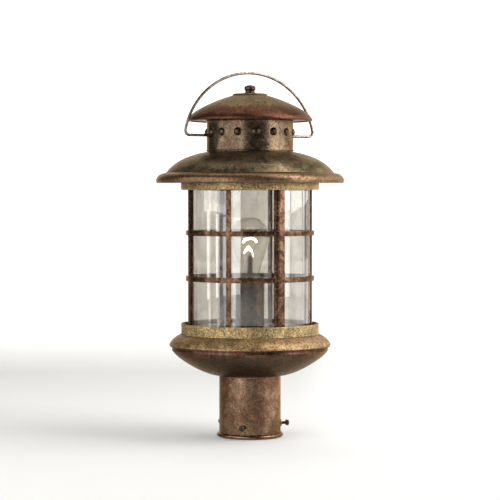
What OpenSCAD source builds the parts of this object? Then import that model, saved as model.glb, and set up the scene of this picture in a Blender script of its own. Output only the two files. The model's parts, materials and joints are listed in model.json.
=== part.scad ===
// Post-top lantern: a clear glass cylinder in a barred cage between a spun base and a two-tier
// roof, with a wire bail over the cap. The frame's origin is the centre of the collar's mouth,
// +Z is up and the bail turns about a line along X. All sizes are in millimetres.

/* [Sheet metal] */
// Thickness of the spun sheet
sheet_t = 1.2; // [1.0:0.1:1.4]

/* [Collar] */
// Inside radius of the collar, which slips over a 76.2 mm post
collar_bore_r = 38.6; // [38.4:0.1:38.8]
// Height of the collar's bore, from its mouth to the stop bar
collar_h = 82.2; // [82:0.1:84]
// Radius of the rolled bead round the collar's mouth
bead_r = 43; // [42:0.5:44]
// Height of that bead
bead_h = 5.5; // [4:0.5:7]

/* [Set screws] */
// Angle of the first set screw, the others being a third of a turn apart
set_screw_angle = -7.5; // [-20:0.5:20]
// Height of the set screws above the collar's mouth
set_screw_z = 15.5; // [12:0.5:25]
// Radius of a set screw's shank
set_screw_r = 2; // [1.5:0.1:2.5]
// Distance of a set screw's outer end from the axis
set_screw_reach = 52.6; // [50:0.1:56]

/* [Base] */
// Radius of the bowl's upright wall below the rim
bowl_r = 100.7; // [100:0.1:102]
// Radius of the rim, where the bowl and the shoulder meet
rim_r = 104; // [103.5:0.1:105]
// Height of the top of the shoulder, where the cage starts
shoulder_z = 132.4; // [132:0.1:133]
// Height of the chamber's floor plate
floor_z = 142; // [140:0.5:144]

/* [Cage] */
// Outside radius of the gallery bands
band_r = 89.1; // [88.5:0.1:90]
// Top of the lower gallery band
lower_band_top_z = 146.6; // [145:0.1:149]
// Bottom of the upper gallery band
upper_band_z = 318.4; // [316:0.1:320]
// Top of the cage
cage_top_z = 327; // [326.8:0.1:327.2]
// Outside radius of the two hoops and of the thin upright bars
hoop_r = 83.2; // [83:0.1:83.4]
// Height of one hoop's edge
hoop_h = 6.4; // [5:0.2:8]
// Height of the lower hoop's middle
lower_hoop_z = 204.8; // [195:0.1:210]
// Height of the upper hoop's middle
upper_hoop_z = 263.2; // [255:0.1:270]
// Width of a post's flat strip
post_w = 15; // [13:0.5:16]
// Width of the raised rib on a post
rib_w = 6.7; // [5:0.1:8]
// Width of a thin upright bar
muntin_w = 6; // [5:0.5:7]

/* [Glass] */
// Outside radius of the glass cylinder
glass_r = 81; // [80.5:0.1:81.2]
// Thickness of the glass
glass_t = 3; // [2.5:0.1:3.2]

/* [Roof] */
// Outside radius of the roof's brim
roof_r = 121.4; // [120.5:0.1:122]
// Radius of the crease where the dome rises from the brim
crease_r = 108.5; // [108:0.5:110]
// Height of the roof's flat top, which the chimney stands on
roof_top_z = 367.4; // [366.5:0.1:368]
// Outside radius of the chimney
chimney_r = 56; // [55.6:0.1:56.4]
// Height of the chimney's top
chimney_top_z = 408.2; // [408:0.1:408.4]
// Number of places in the ring of domed heads
stud_places = 15; // [15:15]
// Radius of a domed head
stud_r = 5.2; // [4.8:0.1:5.5]
// Height of the ring of domed heads
stud_z = 392.3; // [392:0.1:393]
// Outside radius of the cap
cap_r = 80.2; // [79.6:0.1:80.6]

/* [Bail] */
// Radius of the bail's wire
bail_wire_r = 1.8; // [1.7:0.05:1.9]
// Height of the line the bail turns about
bail_z = 388.1; // [387.8:0.1:388.4]
// Radius of the arch, to the middle of the wire
bail_arch_r = 93.1; // [92.5:0.1:94]
// Distance of the arch's centre below the pivot line
bail_drop = 12.4; // [12:0.1:13]
// Radius of the bend between the arch and each straight end
bail_bend_r = 6; // [5:0.5:7]

/* [Lamp] */
// Outside radius of the sleeve over the lamp holder
sleeve_r = 18.5; // [18.3:0.1:19]
// Height of the sleeve's top
sleeve_top_z = 205; // [204:0.5:206]
// Outside radius of the lamp's screw base
lamp_base_r = 13; // [12.9:0.05:13.05]
// Radius of the lamp's glass at its widest
bulb_r = 25; // [24:0.5:26]
// Height of the top of the lamp's glass
bulb_top_z = 283.5; // [281:0.5:285]

/* [Hidden] */
$fn = 96;
small = 48;

collar_r = collar_bore_r + sheet_t;
fit_gap = 0.05;
free_gap = 0.35;
gallery_t = 2.5;
gallery_in_r = band_r - gallery_t;
flange_in_r = glass_r - glass_t - 0.5;
pan_rise_r = glass_r - glass_t - 1.5;
seat_z = shoulder_z + sheet_t;
gasket_h = 1.8;
glass_z0 = seat_z + gasket_h;
glass_z1 = cage_top_z - sheet_t - 1.6;
hoop_t = 1.7;
lap_r = hoop_r - hoop_t / 2;
strip_t = 1.2;
rib_t = 1.1;
bar_angle = 22.5;
bar_w = 16;
bar_t = 2.4;
bar_screw_r = 84;
rod_r = 3.15;
rod_top_z = 451.2;
stem_r = 5.1;
stem_bore_r = 3.5;
stem_top_z = 157;
nut_h = 3;
roof_base_z = cage_top_z + 0.3;
cap_hem_z = chimney_top_z - sheet_t;
cap_plate_t = 1.2;
cap_top_z = 440.2;
top_disc_t = 2;
finial_z = cap_top_z + top_disc_t + 1.2;
stud_step = 360 / stud_places;
stud_rise = 2.6;
shell_in_r = lamp_base_r + free_gap;
shell_t = 0.4;
socket_z = stem_top_z;
socket_top_z = 201;
socket_r = 17;
lamp_tip_z = 181;
lamp_neck_z = 207.5;
bulb_mid_z = bulb_top_z - bulb_r;
filament_z = 252;

bronze = [0.42, 0.33, 0.22];
copper = [0.50, 0.30, 0.20];
olive = [0.50, 0.44, 0.26];
steel = [0.66, 0.67, 0.68];
brass = [0.78, 0.62, 0.30];
rubber = [0.13, 0.13, 0.13];

// Points of the cubic curve from a to d that leaves towards b and arrives from c
function curve(a, b, c, d, n = 10) = [for (i = [0:n])
    let (t = i / n, u = 1 - t) u * u * u * a + 3 * u * u * t * b + 3 * u * t * t * c + t * t * t * d];

// The unit normal on the left of the step from a to b
function left_of(a, b) = let (d = b - a) [-d[1], d[0]] / norm(d);

// The open line p moved to its left by t, mitred at its corners
function moved(p, t) = let (last = len(p) - 1) [for (i = [0:last])
    let (before = left_of(p[max(i - 1, 0)], p[max(i, 1)]),
         after = left_of(p[min(i, last - 1)], p[min(i + 1, last)]),
         m = before + after)
    p[i] + 2 * t * m / (m * m)];

// A part spun from sheet: its outside follows the line p, drawn from the bottom up
module spun(p, t = sheet_t) {
    back = moved(p, t);
    rotate_extrude() polygon(concat(p, [for (i = [len(p) - 1:-1:0]) back[i]]));
}

// A ring with a rectangular section
module ring(r_in, r_out, z0, z1, n = $fn) {
    rotate_extrude($fn = n) translate([r_in, z0]) square([r_out - r_in, z1 - z0]);
}

// A round bar along Z
module bar(r, z0, z1, n = small) {
    translate([0, 0, z0]) cylinder(r = r, h = z1 - z0, $fn = n);
}

// A round bar along X
module bar_x(r, x0, x1) {
    translate([x0, 0, 0]) rotate([0, 90, 0]) cylinder(r = r, h = x1 - x0, $fn = small);
}

// A hexagonal nut on the axis
module nut(flat, bore_r, z0, h = nut_h) {
    difference() {
        translate([0, 0, z0]) cylinder(r = flat / sqrt(3), h = h, $fn = 6);
        bar(bore_r, z0 - 1, z0 + h + 1);
    }
}

// A box that reaches from x0 to x1, centred on Y
module slab(x0, x1, w, z0, z1) {
    translate([x0, -w / 2, z0]) cube([x1 - x0, w, z1 - z0]);
}

// ---------------------------------------------------------------- collar and its set screws

module at_set_screw(i) {
    rotate([0, 0, set_screw_angle + 120 * i]) translate([0, 0, set_screw_z]) children();
}

// The collar: a rolled bead at the mouth, three screw holes and a flange turned out inside the bowl
module post_collar() {
    flange_r = 42.4;
    flange_z = collar_h - sheet_t;
    mid_z = bead_h / 2;
    roll = [for (a = [-90:15:90]) [collar_r + (bead_r - collar_r) * cos(a), mid_z + mid_z * sin(a)]];
    color(copper) difference() {
        rotate_extrude() polygon(concat([[collar_bore_r, 0]], roll,
            [[collar_r, flange_z], [flange_r, flange_z], [flange_r, collar_h], [collar_bore_r, collar_h]]));
        for (i = [0:2]) at_set_screw(i) bar_x(set_screw_r + fit_gap, collar_bore_r - 2, collar_r + 2);
    }
}

// The threaded bosses brazed to the collar where the set screws pass through
module collar_screw_bosses() {
    boss_r = 4.8;
    boss_end = 42.4;
    color(copper) for (i = [0:2]) difference() {
        at_set_screw(i) bar_x(boss_r, collar_bore_r, boss_end);
        bar(collar_r, 0, collar_h, $fn);
        at_set_screw(i) bar_x(set_screw_r + fit_gap, collar_bore_r - 2, boss_end + 2);
    }
}

// A set screw with a slotted head, its tip just outside the collar's bore
module set_screw(i) {
    head_r = 3.7;
    head_t = 3.2;
    tip = collar_bore_r + 0.4;
    color(bronze) at_set_screw(i) difference() {
        union() {
            bar_x(set_screw_r, tip, set_screw_reach - 1);
            bar_x(head_r, set_screw_reach - head_t, set_screw_reach);
        }
        slab(set_screw_reach - 1.4, set_screw_reach + 1, 1, -head_r - 1, head_r + 1);
    }
}

// ---------------------------------------------------------------- base

// The bowl under the cage: nearly flat round the collar, then up to an upright wall and a flange
module lower_bowl() {
    flange_z = 117.1;
    side = curve([collar_r + 2 * fit_gap, 79.4], [62.4, 79.1], [bowl_r + 3.9, 108.3], [bowl_r, 114], 16);
    color(copper) spun(concat(side, [[bowl_r, flange_z], [rim_r, flange_z]]));
}

// The shoulder on the bowl: a lip over the rim, a domed slope and the flat ledge under the cage
module upper_shoulder() {
    lip_z = 118.3;
    ledge_r = 79;
    lip = [[rim_r - 0.5, lip_z], [rim_r + 0.2, lip_z + 0.6]];
    slope = curve([rim_r + 0.1, lip_z + 1.4], [101.8, 124.3], [98.8, 127.9], [band_r + 1.6, shoulder_z - 0.4]);
    color(olive) spun(concat(lip, slope, [[band_r + 0.4, shoulder_z], [ledge_r, shoulder_z]]));
}

// The bar across the collar's top, which stops the post and takes the stem
module stop_bar() {
    color(steel) difference() {
        intersection() {
            slab(-45, 45, 20, collar_h, collar_h + bar_t);
            bar(45, collar_h - 1, collar_h + 10, $fn);
        }
        bar(stem_r, collar_h - 1, collar_h + 10);
        translate([20, 0, 0]) bar(1.5, collar_h - 1, collar_h + 10);
    }
}

// The earthing screw on the stop bar
module earth_screw() {
    color("green") translate([20, 0, 0]) {
        bar(1.5, collar_h, collar_h + bar_t);
        difference() {
            bar(4, collar_h + bar_t, collar_h + bar_t + 2.6);
            slab(-5, 5, 0.9, collar_h + bar_t + 1.6, collar_h + 10);
        }
    }
}

// The hollow stem that ties the floor to the collar and carries the wiring to the lamp holder
module stem_tube() {
    color(steel) ring(stem_bore_r, stem_r, collar_h, stem_top_z, small);
}

module stem_nuts() {
    flat = 15;
    color(steel) {
        nut(flat, stem_r, collar_h + bar_t);
        nut(flat, stem_r, floor_z - sheet_t - nut_h);
        nut(flat, stem_r, floor_z);
    }
}

// The floor of the lamp chamber: a raised plate with a low flange under the glass and the posts
module floor_pan() {
    flange_r = gallery_in_r - 0.2;
    color(steel) rotate_extrude() polygon([[stem_r + 0.1, floor_z], [stem_r + 0.1, floor_z - sheet_t],
        [pan_rise_r - sheet_t, floor_z - sheet_t], [pan_rise_r - sheet_t, shoulder_z],
        [flange_r, shoulder_z], [flange_r, seat_z], [pan_rise_r, seat_z], [pan_rise_r, floor_z]]);
}

// ---------------------------------------------------------------- cage and glass

module lower_gallery_band() {
    round_r = 1.2;
    edge = [for (a = [0:30:90]) [band_r - round_r + round_r * cos(a), lower_band_top_z - round_r + round_r * sin(a)]];
    color(olive) rotate_extrude() polygon(concat([[gallery_in_r, shoulder_z], [band_r, shoulder_z]], edge,
        [[gallery_in_r, lower_band_top_z]]));
}

// The upper band, with a flange turned in over the glass and two holes for the crossbar's screws
module upper_gallery_band() {
    flange_z = cage_top_z - sheet_t;
    color(olive) difference() {
        rotate_extrude() polygon([[gallery_in_r, upper_band_z], [band_r - 0.9, upper_band_z],
            [band_r, upper_band_z + 1.2], [band_r, cage_top_z], [flange_in_r, cage_top_z],
            [flange_in_r, flange_z], [gallery_in_r, flange_z]]);
        at_bar_screws() bar(1.5, flange_z - 1, cage_top_z + 1);
    }
}

module glass_seat_gasket() {
    color(rubber) ring(glass_r - glass_t - 1, glass_r + 0.4, seat_z, glass_z0);
}

module glass_top_gasket() {
    color(rubber) ring(flange_in_r, glass_r + 0.3, glass_z1, cage_top_z - sheet_t);
}

// The clear cylinder, with ground corners
module glass_cylinder() {
    c = 0.6;
    inner = glass_r - glass_t;
    color("lightcyan", 0.3) rotate_extrude() polygon([[inner + c, glass_z0], [glass_r - c, glass_z0],
        [glass_r, glass_z0 + c], [glass_r, glass_z1 - c], [glass_r - c, glass_z1],
        [inner + c, glass_z1], [inner, glass_z1 - c], [inner, glass_z0 + c]]);
}

// A stepped post: a flat strip with a raised rib, and a foot at each end against the gallery band
module post(angle) {
    top_z = cage_top_z - sheet_t;
    strip_x = hoop_r + strip_t;
    foot_x = gallery_in_r - 0.4;
    foot_w = 10;
    color(bronze) rotate([0, 0, angle]) union() {
        slab(hoop_r, strip_x, post_w, seat_z, top_z);
        slab(hoop_r, strip_x + rib_t, rib_w, seat_z, top_z);
        slab(hoop_r, foot_x, foot_w, seat_z, lower_band_top_z - 3);
        slab(hoop_r, foot_x, foot_w, upper_band_z + 2, top_z);
    }
}

// The space of one hoop's edge
module hoop_zone(mid_z, x0, x1) {
    slab(x0, x1, 2 * muntin_w, mid_z - hoop_h / 2, mid_z + hoop_h / 2);
}

// A thin upright bar, halved on its outside where the hoops cross it
module muntin(angle) {
    color(bronze) rotate([0, 0, angle]) difference() {
        slab(hoop_r - hoop_t, hoop_r, muntin_w, seat_z, cage_top_z - sheet_t);
        for (z = [lower_hoop_z, upper_hoop_z]) hoop_zone(z, lap_r, hoop_r + 1);
    }
}

// A hoop round the glass, halved on its inside where the thin bars cross it
module hoop(mid_z) {
    color(bronze) difference() {
        ring(hoop_r - hoop_t, hoop_r, mid_z - hoop_h / 2, mid_z + hoop_h / 2);
        for (a = [45:90:315]) rotate([0, 0, a])
            slab(hoop_r - hoop_t - 2, lap_r, muntin_w, mid_z - hoop_h, mid_z + hoop_h);
    }
}

module at_bar_screws() {
    for (side = [0, 180]) rotate([0, 0, bar_angle + side]) translate([bar_screw_r, 0, 0]) children();
}

// The crossbar over the glass, which holds the centre rod
module top_crossbar() {
    end_r = gallery_in_r - 0.2;
    color(steel) difference() {
        intersection() {
            rotate([0, 0, bar_angle]) slab(-end_r, end_r, bar_w, cage_top_z, cage_top_z + bar_t);
            bar(end_r, cage_top_z - 1, cage_top_z + 10, $fn);
        }
        bar(rod_r, cage_top_z - 1, cage_top_z + 10);
        at_bar_screws() bar(1.5, cage_top_z - 1, cage_top_z + 10);
    }
}

module crossbar_screws() {
    head_z = cage_top_z + bar_t;
    color(steel) at_bar_screws() {
        bar(1.5, cage_top_z - 2.4, head_z);
        difference() {
            bar(2.3, head_z, head_z + 1.6);
            slab(-3, 3, 0.7, head_z + 0.9, head_z + 3);
        }
    }
}

module centre_rod() {
    color(steel) bar(rod_r, cage_top_z - nut_h - 1, rod_top_z);
}

module rod_nuts() {
    flat = 11.1;
    color(steel) {
        nut(flat, rod_r, cage_top_z - nut_h);
        nut(flat, rod_r, cage_top_z + bar_t);
    }
}

// ---------------------------------------------------------------- lamp holder and lamp

// The steel cup that screws on the stem and carries the porcelain body
module socket_cup() {
    color(steel) rotate_extrude($fn = small) polygon([[stem_r, socket_z - 7.5], [8, socket_z - 7.5],
        [8, socket_z - 2], [socket_r, socket_z - 2], [socket_r, socket_z], [stem_r, socket_z]]);
}

module porcelain_socket() {
    well_z = lamp_tip_z - 3;
    well_r = shell_in_r + shell_t;
    color("ivory") rotate_extrude($fn = small) polygon([[stem_r + 0.3, socket_z], [socket_r, socket_z],
        [socket_r, socket_top_z - 1], [socket_r - 1, socket_top_z], [well_r, socket_top_z],
        [well_r, well_z], [0, well_z], [0, socket_z + 4], [stem_r + 0.3, socket_z + 4]]);
}

// The threaded shell inside the porcelain body
module socket_shell() {
    color(brass) ring(shell_in_r, shell_in_r + shell_t, lamp_tip_z - 1, socket_top_z - 0.5, small);
}

// The centre contact: a base strip and the tongue above it
module socket_contact() {
    well_z = lamp_tip_z - 3;
    color(brass) union() {
        bar(6, well_z, well_z + 1);
        bar(3, well_z, lamp_tip_z - 0.2);
    }
}

module socket_sleeve() {
    lip = 2.2;
    inner = socket_r + 0.3;
    color(bronze) rotate_extrude($fn = small) polygon([[inner, floor_z], [sleeve_r, floor_z],
        [sleeve_r, sleeve_top_z - 1], [sleeve_r - 1, sleeve_top_z], [sleeve_r - lip, sleeve_top_z],
        [sleeve_r - lip, sleeve_top_z - 1], [inner, sleeve_top_z - 1]]);
}

// The lamp's centre contact and the black insulator round it
module lamp_contact() {
    color(rubber) rotate_extrude($fn = small) polygon([[0, lamp_tip_z], [3.6, lamp_tip_z],
        [4.6, lamp_tip_z + 1.2], [9.5, lamp_tip_z + 3], [9.5, lamp_tip_z + 3.6], [0, lamp_tip_z + 3.6]]);
}

// The lamp's screw base
module lamp_base() {
    z0 = lamp_tip_z + 3.6;
    wall = 0.6;
    color(steel) rotate_extrude($fn = small) polygon([[0, z0], [9.5, z0], [lamp_base_r, z0 + 3],
        [lamp_base_r, lamp_neck_z], [lamp_base_r - wall, lamp_neck_z], [lamp_base_r - wall, z0 + 4],
        [0, z0 + 4]]);
}

// The lamp's pear-shaped glass, open at the neck inside the screw base
module lamp_glass() {
    wall = 0.8;
    neck_r = lamp_base_r - 1;
    crown = [for (a = [10:10:80]) [bulb_r * cos(a), bulb_mid_z + bulb_r * sin(a)]];
    flank = curve([neck_r, lamp_neck_z - 6], [neck_r, 226], [bulb_r, 238], [bulb_r, bulb_mid_z], 8);
    inside = moved(concat(flank, crown), wall);
    color("white", 0.3) rotate_extrude($fn = small) polygon(concat(flank, crown, [[0, bulb_top_z],
        [0, bulb_top_z - wall]], [for (i = [len(inside) - 1:-1:0]) inside[i]]));
}

// The glass stem in the neck, with the two lead wires
module lamp_stem() {
    z0 = lamp_tip_z + 7.6;
    top_z = 234;
    color("lightcyan") union() {
        bar(7, z0, lamp_neck_z);
        bar(3, z0, top_z);
        for (side = [-1, 1]) translate([side * 2.2, 0, 0]) bar(0.9, z0, top_z + 2);
    }
}

// The filament's arc and the wires that hold it
module lamp_filament() {
    arc_r = 9;
    wire_r = 0.45;
    color("orange") union() {
        for (side = [-1, 1]) translate([side * arc_r, 0, filament_z]) rotate([0, side * 22, 0])
            bar(wire_r, -17, 0.6, 16);
        translate([0, 0, filament_z]) rotate([90, 0, 0]) rotate_extrude(angle = 180)
            translate([arc_r, 0]) circle(wire_r * 1.2, $fn = 16);
    }
}

// ---------------------------------------------------------------- roof, chimney and cap

// The roof: a rounded brim, a crease and a dome up to a flat seat for the chimney
module roof() {
    seat_r = 52;
    lip = [[roof_r - 2, roof_base_z], [roof_r - 0.6, roof_base_z + 0.4]];
    brim = curve([roof_r, roof_base_z + 3], [roof_r, 336.4], [115, 340.2], [crease_r, 340.5], 8);
    dome = curve([crease_r - 0.4, 341], [98.1, 355.6], [77, 364.1], [chimney_r + 1, roof_top_z], 12);
    color(olive) spun(concat(lip, brim, dome, [[seat_r, roof_top_z]]));
}

// The flat ring that closes the brim from below and sits on the cage
module roof_base_ring() {
    inner = gallery_in_r + 0.4;
    outer = roof_r - 2.6;
    upstand = 5.5;
    color(bronze) rotate_extrude() polygon([[inner, roof_base_z], [outer, roof_base_z],
        [outer, roof_base_z + sheet_t], [inner + sheet_t, roof_base_z + sheet_t],
        [inner + sheet_t, roof_base_z + upstand], [inner, roof_base_z + upstand]]);
}

module at_stud(i) {
    rotate([0, 0, (i + 0.5) * stud_step]) translate([0, 0, stud_z]) children();
}

// The places of the loose heads: all but the one that the left bail bush takes
stud_list = [for (i = [0:stud_places - 1]) if (i != floor(stud_places / 2)) i];

// The chimney: a beaded tube with a hole for each domed head and for each bail bush
module chimney() {
    bead = 0.7;
    inner = chimney_r - 1.4;
    foot_r = chimney_r - 0.8;
    color(bronze) difference() {
        rotate_extrude() polygon([[inner, roof_top_z], [foot_r, roof_top_z], [foot_r, roof_top_z + 0.9],
            [chimney_r + bead, roof_top_z + 0.9], [chimney_r + bead, roof_top_z + 2.2],
            [chimney_r, roof_top_z + 2.7], [chimney_r, chimney_top_z - 3],
            [chimney_r + bead, chimney_top_z - 2.4], [chimney_r + bead, chimney_top_z - 0.8],
            [chimney_r, chimney_top_z - 0.3], [chimney_r, chimney_top_z], [inner, chimney_top_z]]);
        for (i = stud_list) at_stud(i) bar_x(1.6, inner - 3, chimney_r + 3);
        for (side = [0, 180]) rotate([0, 0, side]) translate([0, 0, bail_z])
            bar_x(2.9, inner - 3, chimney_r + 3);
    }
}

// A domed head on the chimney's wall, centred on its own X axis
module dome(rise) {
    ball_r = (stud_r * stud_r + rise * rise) / (2 * rise);
    edge = asin(stud_r / ball_r);
    arc = [for (i = [0:5]) let (a = edge * (5 - i) / 5) [ball_r * sin(a), rise - ball_r + ball_r * cos(a)]];
    translate([chimney_r, 0, 0]) rotate([0, 90, 0]) rotate_extrude($fn = 32) polygon(concat([[0, 0]], arc));
}

// The domed heads, each with its shank through the wall and a washer inside
module chimney_studs() {
    inner = chimney_r - 1.4;
    color(bronze) for (i = stud_list) at_stud(i) union() {
        dome(stud_rise);
        bar_x(1.6, inner - 1.6, chimney_r + 1);
        bar_x(3, inner - 1.3, inner - 0.3);
    }
}

// The two bushes that the bail turns in, each with a domed head above its bore
module bail_bushes() {
    inner = chimney_r - 1.4;
    color(bronze) for (side = [0, 180]) rotate([0, 0, side]) difference() {
        union() {
            translate([0, 0, stud_z]) dome(stud_rise);
            translate([0, 0, bail_z]) bar_x(3.4, chimney_r, chimney_r + 2.2);
            translate([0, 0, bail_z]) bar_x(2.9, inner - 0.6, chimney_r + 1);
        }
        translate([0, 0, bail_z]) bar_x(bail_wire_r + fit_gap, inner - 3, chimney_r + 6);
    }
}

// The plate on the chimney's top that closes the cap, with vents inside the chimney
module cap_base_plate() {
    vent_ring_r = 36;
    color(bronze) difference() {
        ring(rod_r + 0.4, cap_r - 3, chimney_top_z, chimney_top_z + cap_plate_t);
        for (a = [0:45:315]) rotate([0, 0, a]) translate([vent_ring_r, 0, 0])
            bar(5, chimney_top_z - 1, chimney_top_z + 3);
    }
}

// The cap: a hem folded under its plate, a thin lip and a low dome
module cap() {
    hem = [[cap_r - 4, cap_hem_z], [cap_r - 0.8, cap_hem_z], [cap_r, cap_hem_z + 0.7]];
    slope = curve([cap_r, cap_hem_z + 2.4], [76.8, 419.9], [43.2, 434.4], [24, 439.6], 14);
    color(olive) spun(concat(hem, slope, [[20, cap_top_z], [rod_r + 0.4, cap_top_z]]));
}

module cap_top_disc() {
    r = 22.6;
    z1 = cap_top_z + top_disc_t;
    color(bronze) rotate_extrude() polygon([[rod_r + 0.4, cap_top_z], [r, cap_top_z],
        [r, cap_top_z + 0.8], [r - 1.6, z1], [rod_r + 0.4, z1]]);
}

module finial_washer() {
    color(bronze) ring(rod_r + free_gap, 8.6, finial_z - 1.2, finial_z, small);
}

// The knob on the centre rod: a neck and a round head, bored from below
module finial() {
    neck_r = 6.3;
    head_r = 7.3;
    head_z = finial_z + 3.6;
    top_z = finial_z + 10;
    color(bronze) rotate_extrude($fn = small) polygon([[rod_r + fit_gap, finial_z], [neck_r + 0.6, finial_z],
        [neck_r, finial_z + 0.8], [neck_r - 0.5, head_z - 0.8], [head_r - 0.5, head_z],
        [head_r, head_z + 0.8], [head_r, head_z + 3.6], [head_r - 0.6, head_z + 4.6], [head_r - 2.4, top_z - 0.8],
        [2, top_z], [0, top_z], [0, rod_top_z + 0.4], [rod_r + fit_gap, rod_top_z + 0.4]]);
}

// ---------------------------------------------------------------- bail

bend_z = bail_z + bail_bend_r;
arch_z = bail_z - bail_drop;
bend_x = sqrt(pow(bail_arch_r - bail_bend_r, 2) - pow(bend_z - arch_z, 2));
bend_angle = atan2(bend_z - arch_z, bend_x);
bail_end_x = 51.6;

// An arc of wire in the XZ plane, about the point x, z
module wire_arc(x, z, r, wire_r, from, sweep) {
    translate([x, 0, z]) rotate([90, 0, 0]) rotate([0, 0, from])
        rotate_extrude(angle = sweep) translate([r, 0]) circle(wire_r, $fn = 32);
}

// The bail: an arch of wire, bent in at each side to a straight end that turns in its bush.
// The bends are a hair thicker than the rest, whose ends are buried in them.
module bail() {
    bend_wire_r = bail_wire_r + 0.1;
    bury = 0.5;
    bury_angle = 0.3;
    color(bronze) union() {
        wire_arc(0, arch_z, bail_arch_r, bail_wire_r, bend_angle - bury_angle,
            180 - 2 * (bend_angle - bury_angle));
        wire_arc(bend_x, bend_z, bail_bend_r, bend_wire_r, -90, 90 + bend_angle);
        wire_arc(-bend_x, bend_z, bail_bend_r, bend_wire_r, 180 - bend_angle, 90 + bend_angle);
        for (side = [0, 180]) rotate([0, 0, side]) translate([0, 0, bail_z])
            bar_x(bail_wire_r, bail_end_x, bend_x + bury);
    }
}

// The push-on washers that keep the bail's ends inside the chimney
module bail_retainers() {
    color(steel) for (side = [0, 180]) rotate([0, 0, side]) translate([0, 0, bail_z]) difference() {
        bar_x(4.2, bail_end_x + 0.4, bail_end_x + 1.4);
        bar_x(bail_wire_r, bail_end_x - 1, bail_end_x + 3);
    }
}

post_collar();
collar_screw_bosses();
set_screw(0);  // set_screw_right
set_screw(1);  // set_screw_back
set_screw(2);  // set_screw_left
lower_bowl();
upper_shoulder();
stop_bar();
earth_screw();
stem_tube();
stem_nuts();
floor_pan();
lower_gallery_band();
glass_seat_gasket();
glass_cylinder();
glass_top_gasket();
post(0);  // post_right
post(90);  // post_back
post(180);  // post_left
post(270);  // post_front
muntin(45);  // muntin_1
muntin(135);  // muntin_2
muntin(225);  // muntin_3
muntin(315);  // muntin_4
hoop(lower_hoop_z);  // hoop_lower
hoop(upper_hoop_z);  // hoop_upper
upper_gallery_band();
top_crossbar();
crossbar_screws();
centre_rod();
rod_nuts();
socket_cup();
porcelain_socket();
socket_shell();
socket_contact();
socket_sleeve();
lamp_contact();
lamp_base();
lamp_glass();
lamp_stem();
lamp_filament();
roof();
roof_base_ring();
chimney();
chimney_studs();
bail_bushes();
cap_base_plate();
cap();
cap_top_disc();
bail();
bail_retainers();
finial_washer();
finial();
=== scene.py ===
import json
import math

import bmesh
import bpy
import numpy as np
from mathutils import Matrix, Vector


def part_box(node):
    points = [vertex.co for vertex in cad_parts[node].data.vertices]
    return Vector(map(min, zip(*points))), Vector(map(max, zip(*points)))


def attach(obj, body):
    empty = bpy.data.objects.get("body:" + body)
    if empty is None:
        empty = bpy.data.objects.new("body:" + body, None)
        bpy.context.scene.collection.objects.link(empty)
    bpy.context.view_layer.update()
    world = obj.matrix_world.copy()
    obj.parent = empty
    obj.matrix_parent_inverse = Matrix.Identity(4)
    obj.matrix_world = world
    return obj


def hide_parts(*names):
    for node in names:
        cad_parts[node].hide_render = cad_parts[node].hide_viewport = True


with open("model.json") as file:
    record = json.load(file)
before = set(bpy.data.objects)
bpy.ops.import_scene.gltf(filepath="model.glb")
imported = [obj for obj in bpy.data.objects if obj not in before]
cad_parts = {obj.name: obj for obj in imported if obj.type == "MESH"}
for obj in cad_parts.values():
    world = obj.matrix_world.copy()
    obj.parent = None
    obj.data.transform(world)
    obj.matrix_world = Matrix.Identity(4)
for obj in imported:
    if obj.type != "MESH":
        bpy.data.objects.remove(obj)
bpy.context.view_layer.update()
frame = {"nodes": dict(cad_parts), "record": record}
MM = 0.001
SHARP = math.radians(30)


def top(node):
    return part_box(node)[1].z / MM


def bottom(node):
    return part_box(node)[0].z / MM


# ---------------------------------------------------------------- mesh helpers (sizes in millimetres)


def closed_mesh(name, verts, faces):
    """A checked mesh from millimetre points, with its faces turned outwards."""
    mesh = bpy.data.meshes.new(name)
    mesh.from_pydata([tuple(np.asarray(v, float) * MM) for v in verts], [], [tuple(f) for f in faces])
    mesh.validate()
    bm = bmesh.new()
    bm.from_mesh(mesh)
    bmesh.ops.recalc_face_normals(bm, faces=bm.faces)
    bm.to_mesh(mesh)
    bm.free()
    return mesh


def make(name, verts, faces, slot, body, replaced=()):
    """A smooth piece that rides on a body and stands for the replaced CAD nodes."""
    mesh = closed_mesh(name, verts, faces)
    mesh.shade_smooth()
    mesh.set_sharp_from_angle(angle=SHARP)
    piece = bpy.data.objects.new(name, mesh)
    bpy.context.scene.collection.objects.link(piece)
    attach(piece, body)
    if replaced:
        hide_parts(*replaced)
    mesh.materials.append(FINISH[slot])
    return piece


class Shape:
    """Points and faces gathered from several parts."""

    def __init__(self):
        self.verts, self.faces = [], []

    def add(self, verts, faces, place=None):
        start = len(self.verts)
        for v in verts:
            self.verts.append(tuple(place @ Vector(v)) if place else tuple(v))
        self.faces += [tuple(start + i for i in f) for f in faces]
        return self


def drill(piece, cutters):
    """Cuts the cutter shapes out of a piece."""
    for i, shape in enumerate(cutters):
        mesh = closed_mesh(f"{piece.name}_cutter_{i}", shape.verts, shape.faces)
        cutter = bpy.data.objects.new(mesh.name, mesh)
        bpy.context.scene.collection.objects.link(cutter)
        cut = piece.modifiers.new("hole", "BOOLEAN")
        cut.operation, cut.solver, cut.object = "DIFFERENCE", "EXACT", cutter
        bpy.context.view_layer.update()
        done = bpy.data.meshes.new_from_object(piece.evaluated_get(bpy.context.evaluated_depsgraph_get()))
        piece.modifiers.clear()
        piece.data = done
        bpy.data.objects.remove(cutter)
    piece.data.set_sharp_from_angle(angle=SHARP)


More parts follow.
